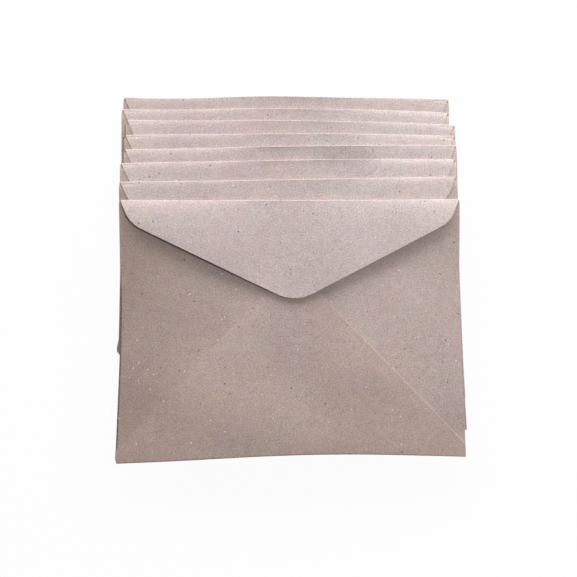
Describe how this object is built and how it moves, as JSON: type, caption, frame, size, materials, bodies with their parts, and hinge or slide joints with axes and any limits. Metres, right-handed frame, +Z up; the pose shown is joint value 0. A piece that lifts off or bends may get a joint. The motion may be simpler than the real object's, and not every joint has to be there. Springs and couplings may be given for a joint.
{
  "type": "stack of envelopes",
  "caption": "Fanned stack of plain recycled kraft paper envelopes with pointed seal flaps that fold open; each envelope lifts off the one below it.",
  "frame": {"origin": "middle of the stack's bounding box, on the plane that the stack lies on", "axes": "+Z up out of the surface that the stack lies on, flap sides up; +Y from the front envelope's bottom fold towards the top folds of the envelopes behind it; +X to the right"},
  "size_m": [0.1502, 0.1598, 0.0123],
  "materials": {
    "face_paper": "matte",
    "side_flap_paper": "matte",
    "bottom_flap_paper": "matte",
    "seal_flap_paper": "matte",
    "seam_glue": "satin",
    "seal_gum": "gloss"
  },
  "bodies": {
    "envelope_1": {"envelope_1_face_panel": "face_paper", "envelope_1_left_side_flap": "side_flap_paper", "envelope_1_right_side_flap": "side_flap_paper", "envelope_1_seam_glue": "seam_glue", "envelope_1_bottom_flap": "bottom_flap_paper"},
    "seal_flap_1": {"envelope_1_seal_gum": "seal_gum", "envelope_1_seal_flap": "seal_flap_paper"},
    "envelope_2": {"envelope_2_face_panel": "face_paper", "envelope_2_left_side_flap": "side_flap_paper", "envelope_2_right_side_flap": "side_flap_paper", "envelope_2_seam_glue": "seam_glue", "envelope_2_bottom_flap": "bottom_flap_paper"},
    "seal_flap_2": {"envelope_2_seal_gum": "seal_gum", "envelope_2_seal_flap": "seal_flap_paper"},
    "envelope_3": {"envelope_3_face_panel": "face_paper", "envelope_3_left_side_flap": "side_flap_paper", "envelope_3_right_side_flap": "side_flap_paper", "envelope_3_seam_glue": "seam_glue", "envelope_3_bottom_flap": "bottom_flap_paper"},
    "seal_flap_3": {"envelope_3_seal_gum": "seal_gum", "envelope_3_seal_flap": "seal_flap_paper"},
    "envelope_4": {"envelope_4_face_panel": "face_paper", "envelope_4_left_side_flap": "side_flap_paper", "envelope_4_right_side_flap": "side_flap_paper", "envelope_4_seam_glue": "seam_glue", "envelope_4_bottom_flap": "bottom_flap_paper"},
    "seal_flap_4": {"envelope_4_seal_gum": "seal_gum", "envelope_4_seal_flap": "seal_flap_paper"},
    "envelope_5": {"envelope_5_face_panel": "face_paper", "envelope_5_left_side_flap": "side_flap_paper", "envelope_5_right_side_flap": "side_flap_paper", "envelope_5_seam_glue": "seam_glue", "envelope_5_bottom_flap": "bottom_flap_paper"},
    "seal_flap_5": {"envelope_5_seal_gum": "seal_gum", "envelope_5_seal_flap": "seal_flap_paper"},
    "envelope_6": {"envelope_6_face_panel": "face_paper", "envelope_6_left_side_flap": "side_flap_paper", "envelope_6_right_side_flap": "side_flap_paper", "envelope_6_seam_glue": "seam_glue", "envelope_6_bottom_flap": "bottom_flap_paper"},
    "seal_flap_6": {"envelope_6_seal_gum": "seal_gum", "envelope_6_seal_flap": "seal_flap_paper"},
    "envelope_7": {"envelope_7_face_panel": "face_paper", "envelope_7_left_side_flap": "side_flap_paper", "envelope_7_right_side_flap": "side_flap_paper", "envelope_7_seam_glue": "seam_glue", "envelope_7_bottom_flap": "bottom_flap_paper"},
    "seal_flap_7": {"envelope_7_seal_gum": "seal_gum", "envelope_7_seal_flap": "seal_flap_paper"},
    "envelope_8": {"envelope_8_face_panel": "face_paper", "envelope_8_left_side_flap": "side_flap_paper", "envelope_8_right_side_flap": "side_flap_paper", "envelope_8_seam_glue": "seam_glue", "envelope_8_bottom_flap": "bottom_flap_paper"},
    "seal_flap_8": {"envelope_8_seal_gum": "seal_gum", "envelope_8_seal_flap": "seal_flap_paper"}
  },
  "joints": [
    {"name": "seal_flap_1_turn", "type": "hinge", "parent": "envelope_1", "child": "seal_flap_1", "pos_m": [-0.00064, 0.07963, 0.00064], "axis": [-1, 0.0035, 0], "range_deg": [0, 180]},
    {"name": "envelope_2_lift", "type": "slide", "parent": "envelope_1", "child": "envelope_2", "axis": [0, 0, 1], "range_m": [0, 0.15]},
    {"name": "seal_flap_2_turn", "type": "hinge", "parent": "envelope_2", "child": "seal_flap_2", "pos_m": [-0.00114, 0.07333, 0.00206], "axis": [-1, 0.0087, 0], "range_deg": [0, 180]},
    {"name": "envelope_3_lift", "type": "slide", "parent": "envelope_2", "child": "envelope_3", "axis": [0, 0, 1], "range_m": [0, 0.15]},
    {"name": "seal_flap_3_turn", "type": "hinge", "parent": "envelope_3", "child": "seal_flap_3", "pos_m": [0.00116, 0.06753, 0.00348], "axis": [-0.9999, 0.014, 0], "range_deg": [0, 180]},
    {"name": "envelope_4_lift", "type": "slide", "parent": "envelope_3", "child": "envelope_4", "axis": [0, 0, 1], "range_m": [0, 0.15]},
    {"name": "seal_flap_4_turn", "type": "hinge", "parent": "envelope_4", "child": "seal_flap_4", "pos_m": [0.00076, 0.06123, 0.0049], "axis": [-1, 0.0017, 0], "range_deg": [0, 180]},
    {"name": "envelope_5_lift", "type": "slide", "parent": "envelope_4", "child": "envelope_5", "axis": [0, 0, 1], "range_m": [0, 0.15]},
    {"name": "seal_flap_5_turn", "type": "hinge", "parent": "envelope_5", "child": "seal_flap_5", "pos_m": [0.00076, 0.05554, 0.00632], "axis": [-0.9999, -0.0122, 0], "range_deg": [0, 180]},
    {"name": "envelope_6_lift", "type": "slide", "parent": "envelope_5", "child": "envelope_6", "axis": [0, 0, 1], "range_m": [0, 0.15]},
    {"name": "seal_flap_6_turn", "type": "hinge", "parent": "envelope_6", "child": "seal_flap_6", "pos_m": [-0.00024, 0.04893, 0.00774], "axis": [-0.9999, -0.0122, 0], "range_deg": [0, 180]},
    {"name": "envelope_7_lift", "type": "slide", "parent": "envelope_6", "child": "envelope_7", "axis": [0, 0, 1], "range_m": [0, 0.15]},
    {"name": "seal_flap_7_turn", "type": "hinge", "parent": "envelope_7", "child": "seal_flap_7", "pos_m": [-0.00044, 0.04054, 0.00916], "axis": [-0.9999, -0.014, 0], "range_deg": [0, 180]},
    {"name": "envelope_8_lift", "type": "slide", "parent": "envelope_7", "child": "envelope_8", "axis": [0, 0, 1], "range_m": [0, 0.15]},
    {"name": "seal_flap_8_turn", "type": "hinge", "parent": "envelope_8", "child": "seal_flap_8", "pos_m": [-0.00024, 0.03123, 0.01058], "axis": [-1, 0, 0], "range_deg": [-1.4, 178.6]}
  ],
  "couplings": [
    {"joint": "seal_flap_1_turn", "follows": "envelope_2_lift", "rad_per_m": 20.9},
    {"joint": "seal_flap_2_turn", "follows": "envelope_3_lift", "rad_per_m": 20.9},
    {"joint": "seal_flap_3_turn", "follows": "envelope_4_lift", "rad_per_m": 20.9},
    {"joint": "seal_flap_4_turn", "follows": "envelope_5_lift", "rad_per_m": 20.9},
    {"joint": "seal_flap_5_turn", "follows": "envelope_6_lift", "rad_per_m": 20.9},
    {"joint": "seal_flap_6_turn", "follows": "envelope_7_lift", "rad_per_m": 20.9},
    {"joint": "seal_flap_7_turn", "follows": "envelope_8_lift", "rad_per_m": 20.9}
  ]
}
